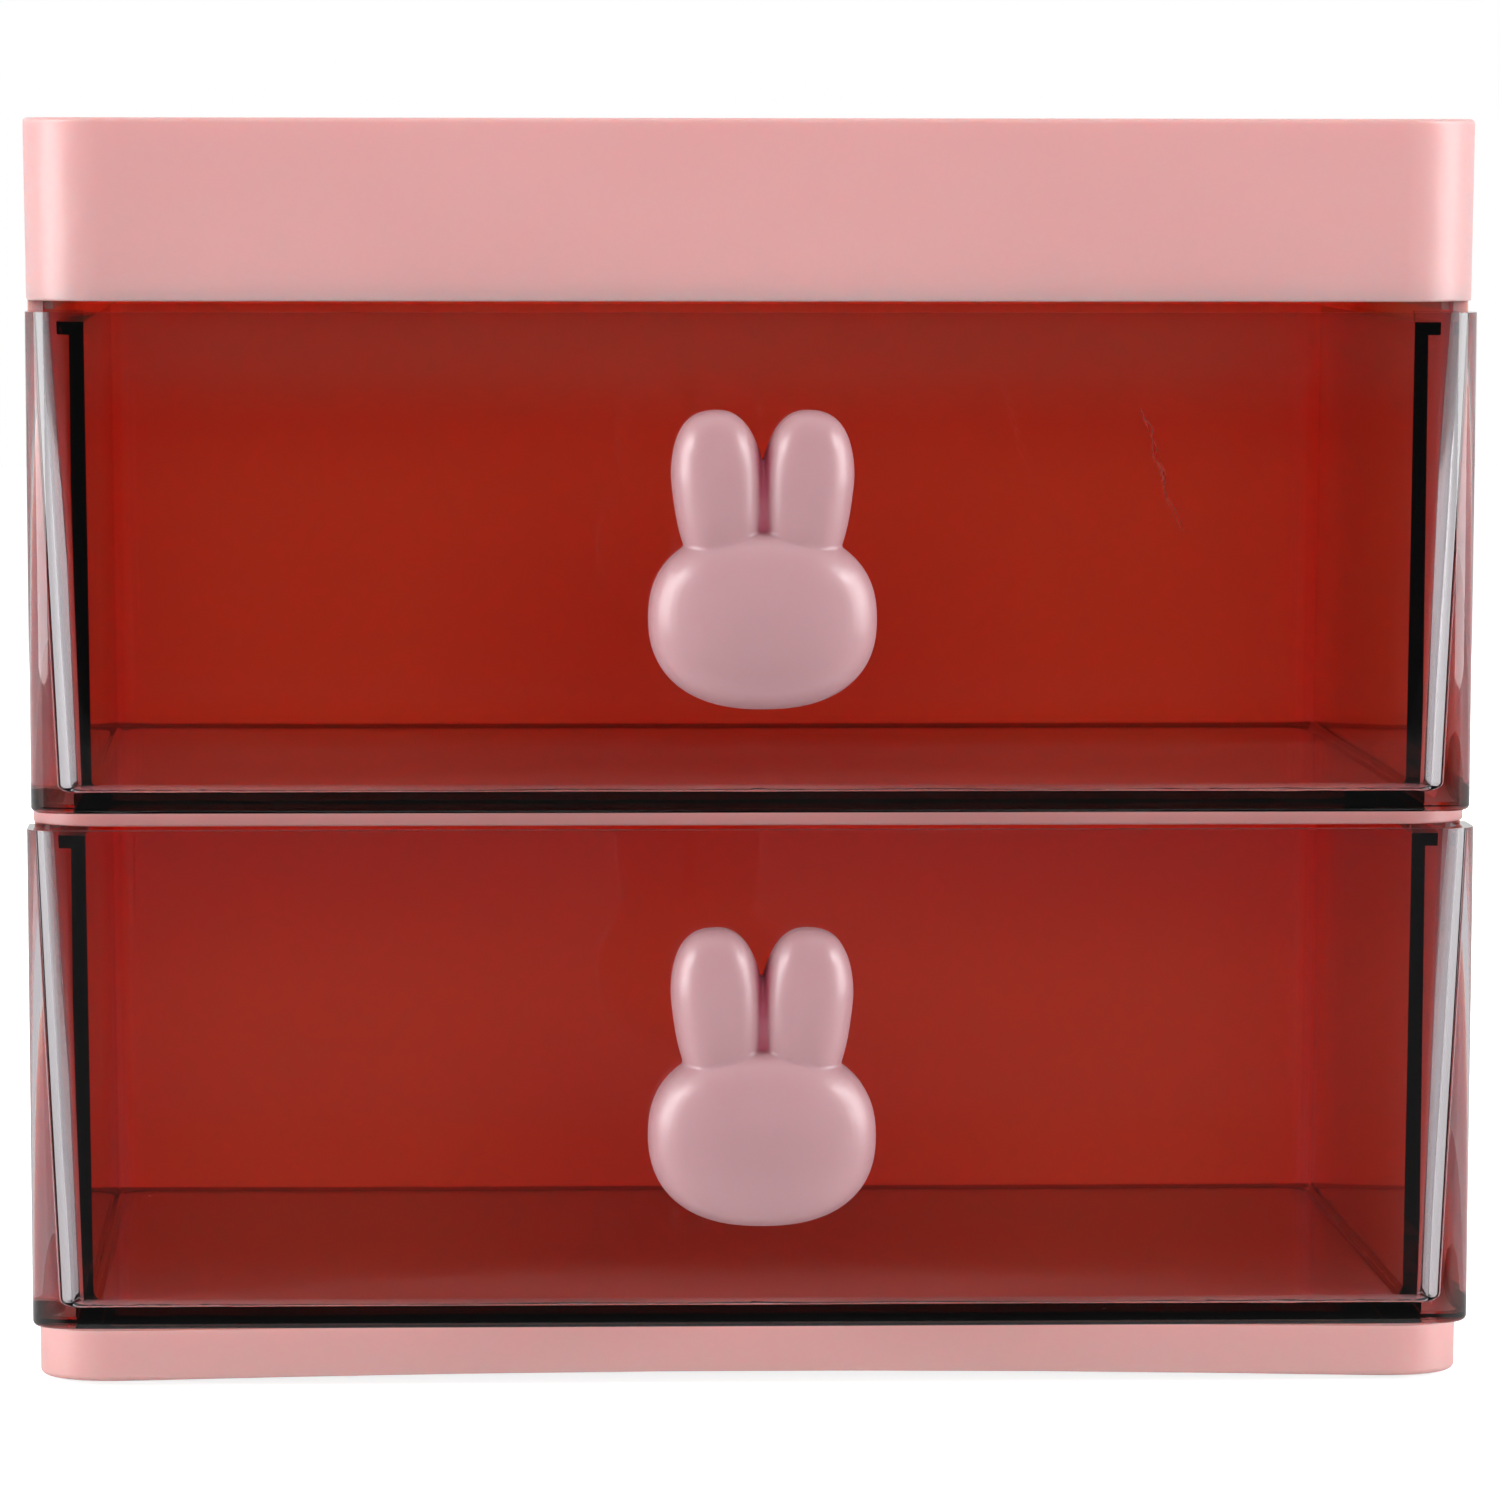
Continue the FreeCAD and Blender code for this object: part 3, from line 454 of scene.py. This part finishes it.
def rabbit_knob(node, name, material, body):
    """A plain rabbit's head, faceless, with its locating pin behind it."""
    low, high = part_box(node)
    middle = (low.x + high.x) / 2

    def spot(right, behind, up):
        """The place so many millimetres from the knob's middle, its rearmost plane and its foot."""
        return Vector((middle + right * MM, high.y - behind * MM, low.z + up * MM))

    flat_back, pin_radius, pin_length = 1.8, 1.2, 3.8
    bm = bmesh.new()
    pillow(bm, spot(0.0, flat_back, 11.1), half_width=14.0, half_height=11.1, wall=3.4, dome=7.6,
           squareness=2.35)
    for side in (-1, 1):
        pillow(bm, spot(side * 5.35, flat_back, 26.0), half_width=5.75, half_height=10.65,
               wall=3.0, dome=5.4, squareness=2.5, painted_foot_light=0.86, tilt=side * math.radians(4.5))
    pillow(bm, spot(0.0, flat_back, 24.3), half_width=2.4, half_height=5.4, wall=3.0,
           dome=3.0, squareness=2.2)
    pin_middle = Matrix.Translation(spot(0.0, pin_length / 2, 18.6))
    bmesh.ops.create_cone(bm, cap_ends=True, segments=32, radius1=pin_radius * MM,
                          radius2=pin_radius * MM, depth=pin_length * MM,
                          matrix=pin_middle @ Matrix.Rotation(math.pi / 2, 4, "X"))
    bmesh.ops.recalc_face_normals(bm, faces=bm.faces)
    piece = finished(name, bm, material, NO_SHARP_EDGE)
    fused = piece.modifiers.new("one moulding", "REMESH")
    fused.mode = "VOXEL"
    fused.voxel_size = 0.22 * MM
    fused.use_smooth_shade = True
    soft = piece.modifiers.new("soft creases", "SMOOTH")
    soft.factor = 0.5
    soft.iterations = 6
    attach(piece, body)
    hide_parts(node)


# Stage

FLOOR_HALF = 2.1
FLOOR_MIDDLE = (0, 0.9, 0)
FLOOR_GREY = (0.85, 0.85, 0.85, 1.0)
FLOOR_GLOW = 0.85

# What the clear drawers and glossy faces show of the floor, in front of the object and behind
BENT_DARK = (0.04, 0.04, 0.04, 1.0)
BENT_GREY = (0.35, 0.35, 0.35, 1.0)
BENT_GLOW = 0.4
MIRRORED_FRONT, SEEN_THROUGH_FRONT = (-0.130, -0.095), (-0.058, -0.048)

LAMPS_AIM_AT = Vector((0, -0.02, 0.08))

# Name, place, size, power, and whether it is seen in reflections
SOFTBOXES = (
    ("left softbox", (-1.26, -0.24, 0.34), (0.8, 1.1), 15.0, True),
    ("right softbox", (1.26, -0.24, 0.34), (0.8, 1.1), 14.0, True),
    ("front softbox", (0.0, -1.6, 0.30), (0.7, 0.30), 6.5, False),
    ("top softbox", (0.0, 0.1, 1.5), (1.0, 0.8), 5.0, False),
    ("back softbox", (0.0, 1.4, 0.50), (1.2, 0.8), 18.0, False),
    ("left strip light", (-1.1, -0.55, 0.90), (0.2, 0.3), 3.5, True),
    ("right strip light", (1.1, -0.55, 0.90), (0.2, 0.3), 3.5, True))


def studio_floor():
    """A white floor, darker in front where it is mirrored or seen through the drawers."""
    bm = bmesh.new()
    bmesh.ops.create_grid(bm, x_segments=1, y_segments=1, size=FLOOR_HALF,
                          matrix=Matrix.Translation(FLOOR_MIDDLE))
    material, tree, plaster, output = new_material("white floor")
    plaster.inputs["Roughness"].default_value = 0.9
    plaster.inputs["Specular IOR Level"].default_value = 0.1
    path = tree.nodes.new("ShaderNodeLightPath").outputs
    bent = times(tree, maths(tree, "LESS_THAN", path["Diffuse Depth"], 0.5),
                 larger(tree, path["Is Glossy Ray"], path["Is Transmission Ray"]))
    y = place(tree)[2]
    behind = fade(tree, path["Transmission Depth"], 0.0, 1.0,
                  fade(tree, y, *MIRRORED_FRONT, 0.04, 1.0),
                  fade(tree, y, *SEEN_THROUGH_FRONT, 0.04, 1.0))
    dim = mixed(tree, behind, BENT_DARK, BENT_GREY)
    feed(tree, plaster.inputs["Base Color"], mixed(tree, bent, FLOOR_GREY, dim))
    seen = larger(tree, path["Is Camera Ray"], times(tree, behind, bent, BENT_GLOW))
    white = tree.nodes.new("ShaderNodeEmission")
    white.inputs["Color"].default_value = WHITE
    feed(tree, white.inputs["Strength"], times(tree, seen, FLOOR_GLOW))
    both = tree.nodes.new("ShaderNodeAddShader")
    tree.links.new(plaster.outputs[0], both.inputs[0])
    tree.links.new(white.outputs[0], both.inputs[1])
    tree.links.new(both.outputs[0], output.inputs["Surface"])
    finished("floor", bm, material)


def studio_world():
    """White behind the object, and dark in front of it in what it mirrors and lets through."""
    world = bpy.data.worlds.new("studio")
    world.use_nodes = True
    bpy.context.scene.world = world
    tree = world.node_tree
    path = tree.nodes.new("ShaderNodeLightPath").outputs
    heading = tree.nodes.new("ShaderNodeSeparateXYZ")
    tree.links.new(tree.nodes.new("ShaderNodeTexCoord").outputs["Generated"], heading.inputs[0])
    backwards = heading.outputs[1]
    reflected = fade(tree, backwards, -0.6, -0.2, 0.03, 0.90)
    let_through = fade(tree, backwards, -0.3, 0.1, 0.03, 0.50)
    level = fade(tree, path["Is Transmission Ray"], 0.0, 1.0, reflected, let_through)
    level = fade(tree, path["Diffuse Depth"], 0.0, 1.0, level, 0.18)
    background = tree.nodes["Background"]
    background.inputs["Color"].default_value = WHITE
    feed(tree, background.inputs["Strength"], larger(tree, path["Is Camera Ray"], level))


def studio_lamps():
    for name, spot, size, power, reflected in SOFTBOXES:
        data = bpy.data.lights.new(name, "AREA")
        data.shape = "RECTANGLE"
        data.size, data.size_y = size
        data.energy = power
        lamp = bpy.data.objects.new(name, data)
        lamp.visible_transmission = False
        lamp.visible_glossy = reflected
        bpy.context.scene.collection.objects.link(lamp)
        spot = Vector(spot)
        turn = (LAMPS_AIM_AT - spot).to_track_quat("-Z", "Y").to_matrix().to_4x4()
        lamp.matrix_world = Matrix.Translation(spot) @ turn


bpy.context.scene.view_settings.view_transform = "Standard"
photograph_camera()
studio_floor()
studio_world()
studio_lamps()

pink, clear, pale = housing_plastic(), clear_plastic(), knob_plastic()
steel, rubber = plated_steel(), pad_rubber()

moulding("top_tray", "tray", pink, "housing")
moulding("upper_case", "upper_housing", pink, "housing")
moulding("lower_case", "lower_housing", pink, "housing")
for tier in ("upper", "lower"):
    drawer = f"{tier}_drawer"
    moulding(drawer, f"{tier}_clear_drawer", clear, drawer)
    rabbit_knob(f"{tier}_knob", f"{tier}_rabbit_knob", pale, drawer)

steel_nodes = [f"{tier}_knob_{part}" for tier in ("upper", "lower") for part in ("screw", "washer")]
rubber_nodes = [f"foot_pad_{end}_{side}" for end in ("front", "rear") for side in ("left", "right")]
for material, names in ((steel, steel_nodes), (rubber, rubber_nodes)):
    for name in names:
        nodes[name].data.materials.clear()
        nodes[name].data.materials.append(material)

bpy.context.view_layer.update()
